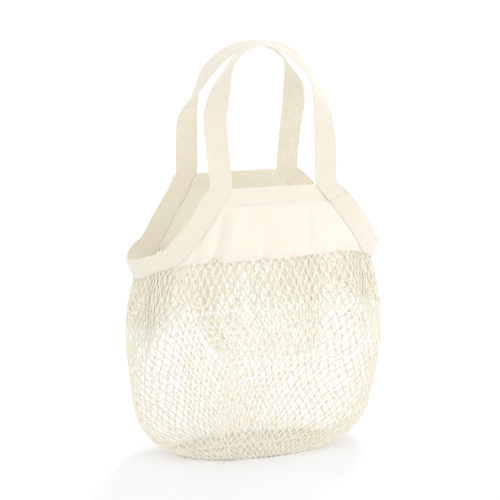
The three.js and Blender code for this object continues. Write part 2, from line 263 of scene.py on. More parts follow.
# Steps across the tape on the collar, points along it there, on half a handle and on a whole
# strap, and the rounds in which a strap is smoothed.
WALK_STEPS = 6
COLLAR_STATIONS = 90
HANDLE_STATIONS = 120
STRAP_STATIONS = 360
STRAP_ROUNDS = 14

# Stitches in mm: how far from the tape's edge and above the hem's lower edge and the foot, and
# the thread's radius. Then their length as a share of their step, and a panel's free end columns.
EDGE_STITCH = 2.2
HEM_STITCH = 2
FOOT_STITCH = 4
THREAD_RADIUS = 0.2
STITCH_SHARE = 0.72
STITCH_FREE = 6

# Surfaces of the yarn, and of the canvas and the tape: light passes a little way into them.
YARN = {"Sheen_Weight": 0.25, "Sheen_Roughness": 0.6, "Specular_IOR_Level": 0.2,
        "Subsurface_Weight": 0.3, "Subsurface_Radius": (1, 0.9, 0.8), "Subsurface_Scale": 0.001}
CLOTH = {"Sheen_Weight": 0.2, "Sheen_Roughness": 0.5, "Specular_IOR_Level": 0.2,
         "Subsurface_Weight": 0.8, "Subsurface_Radius": (1, 0.95, 0.88),
         "Subsurface_Scale": 0.0018}

# Factors on the cloth's colour: its deeper and its paler patches, the painted shade in the
# hollows of its weave, and the flecks of husk in it.
CANVAS_SHADES = (0.98, 0.975, 0.96), (1.03, 1.035, 1.05), (0.93, 0.91, 0.85), (0.86, 0.8, 0.66)
TAPE_SHADES = (0.97, 0.965, 0.94), (1.03, 1.035, 1.05), (0.91, 0.885, 0.81), (0.85, 0.79, 0.65)
# Factor of painted shade on the hem, where doubled cloth lets less light through.
HEM_PAINTED_SHADE = (0.975, 0.975, 0.97, 1)

# Widths in mm of two crossing threads of the canvas, and of a rib and a selvedge cord of the tape.
CANVAS_WEAVE = 1.3
TAPE_RIB = 2.6
TAPE_CORD = 1.05

# The stage in metres: half the floor's side, the lights' places, size and angle, the points that
# the lights and the camera are turned to, and the camera's sensor in mm and its shift.
FLOOR_REACH = 30
MAIN_LIGHT_PLACE = (1.4, -1.9, 0.9)
MAIN_LIGHT_SIZE = 1.2
TOP_LIGHT_PLACE = (0.9, 1.3, 2.2)
TOP_LIGHT_ANGLE = math.radians(15)
LIGHT_AIM = (0, 0, 0.22)
CAMERA_AIM = (0, 0, 0.224)
SENSOR_WIDTH = 36
CAMERA_SHIFT = -0.01


# Curves and faces of the bag

def through(rows, at):
    """The columns of a table on cubics through its rows, whose first column is the place. A row's
    slope is the harmonic mean of the slopes on its two sides, or nought where their signs differ,
    so the curve never swings past a row."""
    rows = np.asarray(rows, float)
    places, values = rows[:, 0], rows[:, 1:]
    gaps = np.diff(places)[:, None]
    rates = np.diff(values, axis=0) / gaps
    product = rates[:-1] * rates[1:]
    both = np.where(product > 0, rates[:-1] + rates[1:], 1)
    inner = np.where(product > 0, 2 * product / both, 0)
    slopes = np.concatenate([rates[:1], inner, rates[-1:]])
    at = np.clip(at, places[0], places[-1])
    low = np.clip(np.searchsorted(places, at, side="right") - 1, 0, len(gaps) - 1)
    gap = gaps[low]
    t = (at[..., None] - places[low][..., None]) / gap
    u = 1 - t
    curve = (values[low] * u * u * (1 + 2 * t) + values[low + 1] * t * t * (3 - 2 * t)
             + gap * t * u * (slopes[low] * u - slopes[low + 1] * t))
    return np.moveaxis(curve, -1, 0)


def between(rows, at):
    """The columns of a table on straight lines through its rows."""
    rows = np.asarray(rows, float)
    return [np.interp(at, rows[:, 0], column) for column in rows.T[1:]]


def eased(share):
    """A smooth step: three times the square of the share, less twice its cube."""
    return share * share * (3 - 2 * share)


def run_of(points, axis=0):
    """How far along its line each point lies: the sum of the steps up to it."""
    steps = np.diff(points, axis=axis, prepend=np.take(points, [0], axis))
    return np.cumsum(np.linalg.norm(steps, axis=-1), axis)


def unit(vectors):
    """Each vector divided by its own length."""
    return vectors / np.maximum(np.linalg.norm(vectors, axis=-1, keepdims=True), 1e-9)


def bell(distance):
    """One at nought, falling away as e to the minus half of the distance squared."""
    return np.exp(-distance ** 2 / 2)


def on_section(rows, height, angle, z):
    """A point of a section: X is the width times the cosine of the angle, and Y the depth times
    its sine, times one plus the fullness times the cosine squared."""
    width, depth, fullness = through(rows, height)
    across = np.cos(angle)
    x = BAG_HALF_WIDTH * width * across
    y = BAG_HALF_DEPTH * depth * np.sin(angle) * (1 + fullness * across ** 2)
    return np.stack([x, y, z], -1)


def seam_at(angle):
    """The seam's height: it drops by the fifth power of the cosine of the angle towards the side
    corners, and is a little higher on the right."""
    across = np.cos(angle)
    return SEAM_HEIGHT - SEAM_DROP * np.abs(across) ** SEAM_DROP_POWER + SEAM_RISE_RIGHT * across


def net_face(angle, height):
    """The net's outer face: the section at a share of the seam's height. Its upper half follows
    the drop of the seam by the square of the share above the middle."""
    angle, height = np.broadcast_arrays(angle, height)
    sag = np.clip(2 * height - 1, 0, 1) ** 2
    z = height * SEAM_HEIGHT - sag * (SEAM_HEIGHT - seam_at(angle))
    return on_section(NET_SECTIONS, height, angle, z)


def collar_face(angle, rise):
    """The collar's outer face: the section at a share of the way from the seam to the mouth."""
    angle, rise = np.broadcast_arrays(angle, rise)
    seam = seam_at(angle)
    z = seam + rise * (MOUTH_HEIGHT - seam)
    return on_section(COLLAR_SECTIONS, rise, angle, z)


def slopes_of(face, u, v):
    """How fast a face runs round and up at a place, from two small steps each way."""
    v = np.clip(v, STEP, 1 - STEP)
    round_it = (face(u + STEP, v) - face(u - STEP, v)) / (2 * STEP)
    up = (face(u, v + STEP) - face(u, v - STEP)) / (2 * STEP)
    return round_it, up


def normal_of(face, u, v):
    """The outward normal of a face: the cross product of its slopes round and up."""
    return unit(np.cross(*slopes_of(face, u, v)))


# Meshes

def placed(name, data, place=(0, 0, 0), way=None):
    """A new object of the scene, turned to look along a way if one is given."""
    thing = bpy.data.objects.new(name, data)
    thing.location = place
    if way is not None:
        thing.rotation_euler = way.to_track_quat("-Z", "Y").to_euler()
    bpy.context.scene.collection.objects.link(thing)
    return thing


def new_piece(name, points, faces, corners, slot, material):
    """A piece of the bag from points in mm, arrays of faces of three, four or more points, and
    the pattern's place in mm at every corner of every face."""
    mesh = bpy.data.meshes.new(name)
    loops = np.concatenate([group.ravel() for group in faces])
    sizes = np.concatenate([np.full(len(group), group.shape[1]) for group in faces])
    starts = np.concatenate([[0], np.cumsum(sizes)[:-1]])
    points = np.ascontiguousarray(points.reshape(-1, 3) * MM)
    mesh.vertices.add(len(points))
    mesh.vertices.foreach_set("co", points.ravel())
    mesh.loops.add(len(loops))
    mesh.loops.foreach_set("vertex_index", loops.astype(np.int32))
    mesh.polygons.add(len(starts))
    mesh.polygons.foreach_set("loop_start", starts.astype(np.int32))
    mesh.polygons.foreach_set("use_smooth", np.ones(len(starts), bool))
    mesh.update(calc_edges=True)
    pattern = np.concatenate([group.reshape(-1, 2) for group in corners]) * MM
    mesh.uv_layers.new(name="pattern").data.foreach_set("uv", pattern.ravel())
    mesh.materials.append(material)
    piece = placed(name, mesh)
    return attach(piece, BODY)


def tubes(paths, radius, outward, sides):
    """Round tubes with closed ends along many paths. Each ring is its path's point plus the radius
    times the cosine and sine of the turn on two axes square to the path, the first outward."""
    along = unit(np.gradient(paths, axis=1))
    side = unit(np.cross(along, outward))
    out = np.cross(side, along)
    turn = 2 * np.pi * np.arange(sides) / sides
    cosine, sine = np.cos(turn)[:, None], np.sin(turn)[:, None]
    rings = np.broadcast_to(radius, paths.shape[:2])[..., None, None] * (
        cosine * out[:, :, None] + sine * side[:, :, None])
    points = paths[:, :, None] + rings
    index = np.arange(points[..., 0].size).reshape(points.shape[:3])
    here, ahead = index[:, :-1], index[:, 1:]
    wall = np.stack([here, np.roll(here, -1, 2), np.roll(ahead, -1, 2), ahead], -1)
    ends = np.concatenate([index[:, 0, ::-1], index[:, -1]])
    length = run_of(paths, 1)
    girth = 2 * np.pi * np.mean(radius) / sides
    place = np.zeros(wall.shape + (2,))
    place[..., 0] = length[:, :-1, None, None]
    place[..., 2:, 0] = length[:, 1:, None, None]
    place[..., 1] = girth * (np.arange(sides)[:, None] + np.array([0, 1, 1, 0]))
    flat = np.zeros(ends.shape + (2,))
    return points, [wall.reshape(-1, 4), ends], [place.reshape(-1, 4, 2), flat]


def plate(outer, inner, place):
    """A sheet between an outer and an inner grid of points, closed along its four edges."""
    rows, columns = outer.shape[:2]
    index = np.arange(2 * rows * columns).reshape(2, rows, columns)
    cells = np.stack([index[:, :-1, :-1], index[:, :-1, 1:], index[:, 1:, 1:],
                      index[:, 1:, :-1]], -1)
    rim = np.concatenate([index[:, 0, :-1], index[:, :-1, -1], index[:, -1, :0:-1],
                          index[:, :0:-1, 0]], 1)
    after = np.roll(rim, -1, 1)
    edges = np.stack([after[0], rim[0], rim[1], after[1]], -1)
    faces = np.concatenate([cells[0].reshape(-1, 4), cells[1].reshape(-1, 4)[:, ::-1], edges])
    both = np.concatenate([place.reshape(-1, 2)] * 2)
    return np.stack([outer, inner]), [faces], [both[faces]]


def thread_piece(name, paths, outward, radius, slot, material, sides=5):
    """A piece of round threads along many paths."""
    return new_piece(name, *tubes(paths, radius, outward, sides), slot, material)


def cloth_piece(name, side, grid, thickness, slot, material):
    """A piece of cloth on both sides of a grid of points, normals, shares of the thickness, and
    places. The grids are those of the back, and the front has their mirror image."""
    middle, normal, thick, place = grid
    half = normal * (thick * thickness / 2)[..., None]
    faces = [mirrored(middle + half, side), mirrored(middle - half, side), place]
    if side < 0:
        faces = [each[:, ::-1] for each in faces]
    return new_piece(name, *plate(*faces), slot, material)


def mirrored(grid, side):
    """A grid of points or normals of the back of the bag, or its mirror image for the front."""
    return grid * np.array([1, side, 1])


def rounded(distance, radius):
    """How thick a rounded edge is, as a share, at a distance in from it: the height of a circle
    of that radius, and one beyond it."""
    share = np.clip(distance / radius, 0, 1)
    return np.sqrt(np.clip(1 - (1 - share) ** 2, 0, 1)) * (1 - RIM) + RIM


def area_of(grid):
    """The area of a grid of points: half of the cross products of its cells' diagonals."""
    first = grid[1:, 1:] - grid[:-1, :-1]
    second = grid[1:, :-1] - grid[:-1, 1:]
    return np.linalg.norm(np.cross(first, second), axis=-1).sum() / 2


# Materials

class Wire:
    """A number or a socket of a material, on which sums are written as in Python."""

    def __init__(self, nodes, socket):
        self.nodes = nodes
        self.socket = socket

    def sum(self, operation, *values):
        settings = {"operation": operation}
        inputs = {i: value for i, value in enumerate(values)}
        return self.nodes.add("ShaderNodeMath", settings, inputs)

    def __add__(self, other):
        return self.sum("ADD", self, other)

    def __sub__(self, other):
        return self.sum("SUBTRACT", self, other)

    def __rsub__(self, other):
        return self.sum("SUBTRACT", other, self)

    def __mul__(self, other):
        return self.sum("MULTIPLY", self, other)

    def __truediv__(self, other):
        return self.sum("DIVIDE", self, other)

    def __abs__(self):
        return self.sum("ABSOLUTE", self)

    def sine(self):
        return self.sum("SINE", self)


class Finish:
    """A material and the nodes in it."""

    def __init__(self, name, **constants):
        self.material = bpy.data.materials.new(name)
        self.material.use_nodes = True
        self.tree = self.material.node_tree
        self.shader = self.tree.nodes["Principled BSDF"]
        for socket, value in constants.items():
            self.shader.inputs[socket.replace("_", " ")].default_value = value

    def add(self, kind, settings=None, inputs=None, output=0):
        """A node of a type, with its settings first, then the values or links of its sockets."""
        node = self.tree.nodes.new(kind)
        for setting, value in (settings or {}).items():
            setattr(node, setting, value)
        for socket, value in (inputs or {}).items():
            if isinstance(value, Wire):
                self.tree.links.new(value.socket, node.inputs[socket])
            else:
                node.inputs[socket].default_value = value
        return Wire(self, node.outputs[output])

    def put(self, **sockets):
        """Links wires to the shader's sockets."""
        for socket, wire in sockets.items():
            self.tree.links.new(wire.socket, self.shader.inputs[socket.replace("_", " ")])
        return self.material

    def pattern(self):
        """The pattern's two places on the surface, in mm, from the piece's own UV map."""
        uv = self.add("ShaderNodeUVMap", {"uv_map": "pattern"})
        split = self.add("ShaderNodeSeparateXYZ", inputs={0: uv})
        second = Wire(self, split.socket.node.outputs[1])
        return split * 1000, second * 1000

    def noise(self, size, stretch=(1, 1, 1), detail=3, rough=0.55):
        """Noise on Object coordinates, with patches of a size in mm."""
        place = self.add("ShaderNodeTexCoord", output=3)
        scaled = self.add("ShaderNodeVectorMath", {"operation": "MULTIPLY"},
                          {0: place, 1: stretch})
        return self.add("ShaderNodeTexNoise", inputs={
            "Vector": scaled, "Scale": 1000 / size, "Detail": detail, "Roughness": rough})

    def noise_on(self, first, second):
        """Noise on the piece's own pattern places, given in patches."""
        place = self.add("ShaderNodeCombineXYZ", inputs={0: first, 1: second})
        return self.add("ShaderNodeTexNoise", inputs={"Vector": place, "Scale": 1, "Detail": 2})

    def wave(self, phase):
        """Ridges of 0 to 1 that rise and fall as the sine of a phase."""
        return phase.sine() * 0.5 + 0.5

    def ramp(self, value, *stops):
        """A value put through a ramp of two pairs of place and grey."""
        tone = self.add("ShaderNodeValToRGB", inputs={0: value})
        for element, (place, grey) in zip(tone.socket.node.color_ramp.elements, stops):
            element.position = place
            element.color = (grey, grey, grey, 1)
        return tone

    def mix(self, share, first, second, blend="MIX"):
        """Two colours mixed by a share."""
        settings = {"data_type": "RGBA", "blend_type": blend}
        return self.add("ShaderNodeMix", settings, {0: share, 6: first, 7: second}, 2)

    def bump(self, height, distance, strength, below=None):
        """A normal from a height of 0 to 1 over a distance in mm, on top of another normal."""
        inputs = {"Height": height, "Distance": distance * MM, "Strength": strength}
        if below is not None:
            inputs["Normal"] = below
        return self.add("ShaderNodeBump", inputs=inputs)

    def cloth_tone(self, colour, shades, relief, stops, patch, fleck, share):
        """The colour of a cloth: in patches of a size in mm, with painted shade where the relief is
        low, in the hollows of the weave, and with flecks of a size in mm that cover it by a share."""
        deeper, paler, hollow_shade, husk = (shade(colour, factor) for factor in shades)
        light = self.mix(self.noise(patch, detail=2), deeper, paler)
        # Painted shade: where the relief is low, the hollows of the weave take the darker colour.
        tone = self.mix(self.ramp(relief, *stops), hollow_shade, light)
        flecks = self.ramp(self.noise(fleck, detail=1), (0.7, 0), (0.78, share))
        return self.mix(flecks, tone, husk)


def shade(colour, factor):
    """A colour times a factor for each of its three parts, with full opacity."""
    return tuple(min(c * f, 1) for c, f in zip(colour, factor)) + (1,)


def yarn_finish(colour):
    """Undyed cotton yarn: plies wound round it as slanted ridges, with painted shade in the hollows
    between them, and with slubs and soft fibres.
    """
    yarn = Finish("cotton yarn", **YARN)
    along, girth = yarn.pattern()
    plies = yarn.wave(along * 2.6 + girth * 1.3)
    fibres = yarn.noise_on(along * 1.6, girth * 7)
    patches = yarn.noise(28)
    slubs = yarn.noise(5, detail=2)
    hollow_shade = plies * 0.5 + fibres * 0.5
    light = yarn.mix(patches, shade(colour, (1, 1, 1)), shade(colour, (1.03, 1.03, 1.05)))
    # Painted shade for the hollows between the plies and fibres, a little deeper in some slubs.
    deep = yarn.mix(slubs, shade(colour, (0.95, 0.925, 0.87)), shade(colour, (0.98, 0.97, 0.945)))
    tone = yarn.mix(yarn.ramp(hollow_shade, (0.2, 0), (0.62, 1)), deep, light)
    normal = yarn.bump(plies, 0.2, 0.5)
    normal = yarn.bump(fibres, 0.08, 0.4, normal)
    rough = yarn.noise(9) * 0.12 + 0.84
    return yarn.put(Base_Color=tone, Roughness=rough, Normal=normal)


def canvas_finish(colour, hem):
    """Undyed cotton canvas in plain weave: threads over and under by turns, with painted shade in
    the hollows between them, thick and thin places along them, broad soft creases, and painted
    shade on the hem, where doubled cloth lets less light through."""
    cloth = Finish("cotton canvas", **CLOTH)
    across, up = cloth.pattern()
    pitch = 2 * math.pi / CANVAS_WEAVE
    weave = (across * pitch).sine() * (up * pitch).sine() * 0.5 + 0.5
    warp = cloth.noise_on(across * 1.4, up * 0.06)
    weft = cloth.noise_on(across * 0.06, up * 1.4)
    threads = warp * 0.5 + weft * 0.5
    tone = cloth.cloth_tone(colour, CANVAS_SHADES, weave * 0.6 + threads * 0.4,
                            ((0.15, 0), (0.6, 1)), 40, 1.4, 0.35)
    # Painted shade: the hem is a little darker, where doubled cloth lets less light through.
    start = 1 - hem / COLLAR_HEIGHT
    doubled = cloth.ramp(up / COLLAR_HEIGHT, (start, 0), (start + 0.02, 1))
    tone = cloth.mix(doubled, tone, cloth.mix(1, tone, HEM_PAINTED_SHADE, "MULTIPLY"))
    normal = cloth.bump(cloth.noise(16, (1, 1, 0.5), 3, 0.5), 2.2, 0.35)
    normal = cloth.bump(threads, 0.35, 0.5, normal)
    normal = cloth.bump(weave, 0.16, 0.55, normal)
    rough = threads * 0.14 + 0.8
    return cloth.put(Base_Color=tone, Roughness=rough, Normal=normal)


def tape_finish(colour, width):
    """Undyed cotton herringbone tape: slanted ribs that turn back along the middle line, and
    plainer selvedges, with painted shade in the hollows between the ribs and the cords."""
    tape = Finish("cotton tape", **CLOTH)
    along, across = tape.pattern()
    slant = along + abs(abs(across) - width / 4) * 1.1
    ribs = tape.wave(slant * (2 * math.pi / TAPE_RIB))
    threads = tape.noise_on(along * 0.1, across * 1.8)
    cords = tape.wave(across * (2 * math.pi / TAPE_CORD))
    edge = tape.ramp(abs(across) / (width / 2), (0.84, 0), (0.9, 1))
    relief = ribs * (1 - edge) + cords * edge
    # Painted shade in the hollows between the ribs and the cords, where the relief is low.
    tone = tape.cloth_tone(colour, TAPE_SHADES, relief * 0.6 + threads * 0.4,
                           ((0.15, 0), (0.62, 1)), 30, 1.5, 0.3)
    normal = tape.bump(tape.noise(18, (1, 1, 0.6)), 1.5, 0.3)
    normal = tape.bump(threads, 0.3, 0.4, normal)
    normal = tape.bump(relief, 0.3, 0.7, normal)
    rough = relief * 0.1 + 0.8
    return tape.put(Base_Color=tone, Roughness=rough, Normal=normal)


def thread_finish(colour):
    """Sewing thread, with its twist as fine slanted ridges, and painted shade and highlight
    across them.
    """
    thread = Finish("sewing thread", Sheen_Weight=0.15, Specular_IOR_Level=0.3)
    along, girth = thread.pattern()
    twist = thread.wave(along * 9 + girth * 4)
    # Painted shade and highlight: the grooves of the twist are darker and its ridges paler.
    tone = thread.mix(twist, shade(colour, (0.96, 0.95, 0.91)), shade(colour, (1.03, 1.03, 1.04)))
    return thread.put(Base_Color=tone, Roughness=twist * 0.1 + 0.7,
                      Normal=thread.bump(twist, 0.1, 0.5))


def floor_finish(colour):
    """Smooth pale paper, with the faintest change of tone."""
    paper = Finish("studio paper", Specular_IOR_Level=0.1)
    clouds = paper.noise(900, detail=1)
    tone = paper.mix(clouds, shade(colour, (0.995, 0.995, 0.995)), shade(colour, (1, 1, 1)))
    return paper.put(Base_Color=tone, Roughness=clouds * 0.05 + 0.9)


# Net

def row_of(height):
    """The row of the net at a share of the seam's height."""
    rows = np.asarray(NET_ROWS, float)
    return float(np.interp(height, rows[1:-1, 2], rows[1:-1, 0]))


def cells_off(column, angle, columns):
    """How many cells a column lies from an angle in degrees, the short way round."""
    return (column - angle / 360 * columns + columns / 2) % columns - columns / 2


def ripple(columns, column, row, draw, count, reach, tall):
    """A sum of sines round and up the net, whole waves round it, with drawn strengths."""
    total = np.zeros(np.shape(column))
    for _ in range(count):
        waves = draw.integers(2, 12)
        lift = draw.uniform(-1, 1) * 2 * math.pi / tall
        start = draw.uniform(0, 2 * math.pi)
        strength = draw.uniform(0.4, 1) * reach / math.sqrt(count)
        total += strength * np.sin(2 * np.pi * waves * column / columns + lift * row + start)
    return total


def distort(column, row, columns):
    """Pulls the rows and columns of the net out of true: the cells made more even by the sine of
    twice the way round and spread in front or behind by its sine, broad ripples, bunches that draw
    the columns together, and swirls that turn a patch by a bell of the distance from its middle."""
    draw = np.random.default_rng(RIPPLES_SEED)
    free = np.clip((LAST_ROW - 1 - row) / 5, 0, 1) * np.clip((row - 2) / 6, 0, 1)
    spread = np.interp(row, *SPREAD_ROWS)
    round_it = 2 * np.pi * column / columns + math.pi / 2
    even = np.interp(row, *EVEN_ROWS)
    shift = spread * np.sin(round_it) - even / 2 * np.sin(2 * round_it)
    column = column + shift * columns / (2 * math.pi)
    column = column + free * ripple(columns, column, row, draw, 7, 0.22, 18)
    row = row + free * ripple(columns, column, row, draw, 7, 0.25, 14)
    for angle, height, width, tall, strength, lift in BUNCHES:
        off = cells_off(column, angle, columns)
        rise = row - row_of(height)
        near = bell(off / width) * bell(rise / tall)
        column = column - strength * off * near
        row = row - lift * rise * near
    wide = 2 * math.pi * MEAN_RADIUS / columns
    for angle, height, radius, turn in SWIRLS:
        off = cells_off(column, angle, columns) * wide
        rise = (row - row_of(height)) * ROW_HEIGHT
        by = math.radians(turn) * bell(np.hypot(off, rise) / radius) * free
        column = column + (off * np.cos(by) - rise * np.sin(by) - off) / wide
        row = row + (off * np.sin(by) + rise * np.cos(by) - rise) / ROW_HEIGHT
    return column, row


def net_point(column, row, columns, deeper=0):
    """A point of the net and its outward direction. Under the base it runs straight from the seam
    line to the outline of the floor section; above, it is on the net's face, less its depth, less
    the gathers, which are half cosines round the bag, plus the broad folds. An inner pleat lies
    deeper."""
    spread, height, gather, depth, rise = between(NET_ROWS, row)
    angle = 2 * np.pi * column / columns
    point = net_face(angle, height)
    normal = normal_of(net_face, angle, height)
    floor = spread < 1
    along = BASE_SEAM_REACH + (1 - BASE_SEAM_REACH) * spread
    point[..., 0] *= np.where(floor, along, 1)
    point[..., 1] *= spread
    normal[floor] = (0, 0, -1)
    pleat = GATHER_DEPTH * (1 - np.cos(GATHERS * angle + 2 * np.sin(3 * angle))) / 2
    fold = FOLD_DEPTH * np.cos(FOLDS * angle + 1)
    near = np.clip((row - 8.5) / 6, 0, 1)
    swell = SWELL_DEPTH * near * (1 - gather) * np.sin(5 * angle + 0.35 * row)
    offset = gather * (fold - FOLD_DEPTH - pleat) - depth + swell - deeper
    point = point + normal * offset[..., None]
    point[..., 2] = np.maximum(point[..., 2] + rise, FLOOR_GAP)
    return point, normal


def knot_places(columns):
    """The columns and rows of all knots, every other row set over by half a cell, each drawn a
    little out of place."""
    draw = np.random.default_rng(KNOTS_SEED)
    row, column = np.meshgrid(np.arange(LAST_ROW + 1.0), np.arange(columns, dtype=float))
    column = column + (row % 2) / 2
    free = ((row > 0) & (row < LAST_ROW - 1)).astype(float)
    column = column + free * draw.normal(0, KNOT_DRIFT[0], column.shape)
    row = row + free * draw.normal(0, KNOT_DRIFT[1], row.shape)
    return distort(column, row, columns)


def yarn_paths(columns, yarn, samples):
    """The column and row of every yarn of the net. It swings between the knots on its left and
    right by turns, along a line that is part straight and part an S with upright ends, so that
    two yarns lie side by side at each knot."""
    knots, rows = knot_places(columns)
    yarns = np.arange(2 * columns)[:, None]
    level = np.arange(LAST_ROW + 1)[None, :]
    odd = level % 2
    own = np.where(odd == 0, (yarns + 1) // 2, yarns // 2)
    turns, own = own // columns, own % columns
    column = knots[own, level] + turns * columns
    row = rows[own, level]
    middle = yarns / 2 + 0.25
    nominal = own + turns * columns + odd / 2
    cell = 2 * math.pi * MEAN_RADIUS / columns
    column = column + np.sign(middle - nominal) * 0.5 * yarn / cell
    t = np.arange(samples) / samples
    swing = t + YARN_BEND * (eased(t) - t)
    column = column[:, :-1, None] + np.diff(column, axis=1)[..., None] * swing
    row = row[:, :-1, None] + np.diff(row, axis=1)[..., None] * t
    return column.reshape(len(yarns), -1), row.reshape(len(yarns), -1)


def pleat_paths(columns, column, row, pleat):
    """Yarns of a pleat behind the net's upper part. Each runs beside a yarn of the net from a row
    upwards, shifted sideways and deeper by a smooth step."""
    angle, half, height, shift, deep = pleat
    first = int(np.argmax(row.mean(0) > row_of(height)))
    off = cells_off(column[:, -1], angle, columns)
    chosen = np.abs(off) * 360 / columns <= half
    part, up = column[chosen, first:], row[chosen, first:]
    grow = eased(np.clip(np.arange(part.shape[1]) / part.shape[1] * 2.5, 0, 1))
    return net_point(part + shift * grow, up, columns, deep * grow)


def knot_paths(columns, length):
    """A short upright path of five points through each knot."""
    column, row = knot_places(columns)
    column, row = column[:, 1:-1].ravel(), row[:, 1:-1].ravel()
    shift = np.linspace(-1, 1, 5) * length / 2 / KNOT_ROW_HEIGHT
    column = np.broadcast_to(column[:, None], column.shape + (5,))
    return net_point(column, row[:, None] + shift, columns)


def base_seam_path(yarn):
    """The gathered seam under the base, a straight line along X that waves a little."""
    reach = BAG_HALF_WIDTH * NET_SECTIONS[0][1] * BASE_SEAM_REACH
    x = np.linspace(-reach, reach, 120)
    y = 0.8 * np.sin(x / 6) + 0.4 * np.sin(x / 2.1)
    path = np.stack([x, y, np.full(x.shape, 1.25 * yarn)], -1)[None]
    return path, np.broadcast_to([0.0, 0, -1], path.shape)


# Canvas

def edge_angle(along, side, hand, width):
    """The angle from the side corner to the tape's inner edge: even steps up to the foot, then
    the arc cosine of the edge's distance from the middle over the section's half width. The edge
    is drawn inwards halfway up by a half wave."""
    rise, inward, _, _ = through(TAPE_ROWS, along)
    foot, leg = TAPE_FOOT[hand], HANDLE_HALF_SPAN - width / 2
    inward = inward + EDGE_BOWS.get((side, hand), (0, 0))[0] * np.sin(np.pi * rise)
    half = BAG_HALF_WIDTH * through(COLLAR_SECTIONS, rise)[0]
    start = BAG_HALF_WIDTH * COLLAR_SECTIONS[0][1]
    on_seam = along * math.acos(foot / start)
    return np.where(along <= 1, on_seam, np.arccos((foot + inward * (leg - foot)) / half))


def along_at(rise):
    """The place along the tape at which its inner edge has a rise, read back from a fine table."""
    along = np.linspace(1, 2, 2001)
    return np.interp(rise, through(TAPE_ROWS, along)[0], along)


def clustered(count, first, span):
    """Shares from 0 to 1 with fine steps at both ends: first gives the places near an end in mm
    on a span in mm, and the rest are even."""
    ends = np.array(first) / span
    middle = np.linspace(ends[-1], 1 - ends[-1], count)
    return np.concatenate([ends[:-1], middle, 1 - ends[-2::-1]])


def panel_grid(side, width, hem):
    """The middle of a canvas panel, its outward normal, its half thickness as a share, and its
    place across and up in mm. It is the collar's face between the two inner edges of the tape,
    pushed in by the dents, each a bell across times a smooth fade up, and drawn in at the seams
    with the tape and the net."""
    at_hem = 1 - hem / COLLAR_HEIGHT + np.array(HEM_ROWS) / COLLAR_HEIGHT
    rise = np.sort(np.concatenate([clustered(*PANEL_UP), at_hem]))[:, None]
    share = clustered(*PANEL_ACROSS)[None]
    left, right = (edge_angle(along_at(rise), side, hand, width) for hand in (-1, 1))
    angle = right + (math.pi - left - right) * share
    speed = np.linalg.norm(slopes_of(collar_face, angle, rise)[0], axis=-1)
    angle = angle + TUCK * (2 * share - 1) / speed
    point = collar_face(angle, rise)
    normal = normal_of(collar_face, angle, rise)
    x = point[..., 0]
    offset = np.zeros(x.shape)
    for at, lean, broad, deep, low, high in DENTS[side]:
        fade = np.clip((rise - low) / 0.12 + (low == 0), 0, 1) * np.clip((high - rise) / 0.3, 0, 1)
        offset -= deep * bell((x - at - lean * rise) / broad) * eased(fade)
    from_left, from_right = (math.pi - left - angle) * speed, (angle - right) * speed
    near = np.minimum(from_left, from_right)
    up = rise * COLLAR_HEIGHT
    groove = np.where(from_left < from_right, *GROOVES[side])
    offset -= groove * np.exp(-np.abs(near) / 1.1)
    offset -= 0.7 * np.exp(-up / 1.6)
    offset += 0.25 * np.sin(x / 7 + 3 * side) * np.sin(up / 9 + x / 31) * np.clip(near / 8, 0, 1)
    puckers = np.exp(-up / 5) * 0.45 * np.sin(x / 1.9 + 1.3 * np.sin(x / 9))
    inside = np.clip(near / 5, 0, 1)
    offset += puckers * inside
    top = COLLAR_HEIGHT - up
    thick = rounded(near + TUCK, 0.9) * rounded(top, 1) * rounded(up, 1)
    in_hem = 1 / (1 + np.exp((top - hem) / 0.3))
    thick = thick * (ONE_LAYER + (1 - ONE_LAYER) * in_hem)
    offset = offset - 0.04 * bell((top - hem + 2) / 0.8) * np.clip(near / 3, 0, 1)
    middle = point + normal * (offset - CLOTH_MIDDLE)[..., None]
    scallop = np.sin(x / 1.7 + 2 * np.sin(x / 8)) + np.sin(x / 3.1 + 1)
    middle[..., 2] += 0.35 * scallop * np.exp(-up / 2.5) * inside
    across = run_of(middle, 1)
    across = across - across[:, -1:] / 2
    place = np.stack([across, np.broadcast_to(up, across.shape)], -1)
    return middle, normal, thick, place


# Tape

def walk(angle, rise, tilt, distance, hand):
    """Walks over the collar's face from a place, tilted above level, for a distance, in equal
    steps that follow the face's slopes round and up."""
    def face(u, v):
        return collar_face(u if hand > 0 else math.pi - u, v)
    pace = distance / WALK_STEPS
    for _ in range(WALK_STEPS):
        round_it, up = slopes_of(face, angle, rise)
        level = unit(round_it)
        lean = np.sum(up * level, -1)
        climb = np.linalg.norm(up - level * lean[..., None], axis=-1)
        rising = np.sin(tilt) * pace / climb
        turn = -np.cos(tilt) * pace - rising * lean
        angle = angle + turn / np.linalg.norm(round_it, axis=-1)
        rise = rise + rising
    return np.maximum(angle, 0), rise


def tape_on_collar(side, hand, width, offsets):
    """The middle of the tape from a side corner to the mouth: at each station a row of points
    walked outwards over the collar from the inner edge."""
    along = np.linspace(0, 2, COLLAR_STATIONS, endpoint=False)[:, None]
    rise, _, breadth, tilt = through(TAPE_ROWS, along)
    angle = edge_angle(along, side, hand, width)
    tilt = tilt + EDGE_BOWS.get((side, hand), (0, 0))[1] * bell((along - 1) / 0.35)
    distance = breadth * (offsets + width / 2)
    angle, rise = angle + 0 * distance, rise + 0 * distance
    u, v = walk(angle, rise, np.radians(tilt), distance, hand)
    u = u if hand > 0 else math.pi - u
    point = collar_face(u, v)
    point = point - CLOTH_MIDDLE * normal_of(collar_face, u, v)
    point[..., 1] = np.maximum(point[..., 1], 0)
    point[0, :, 1] = 0
    return point


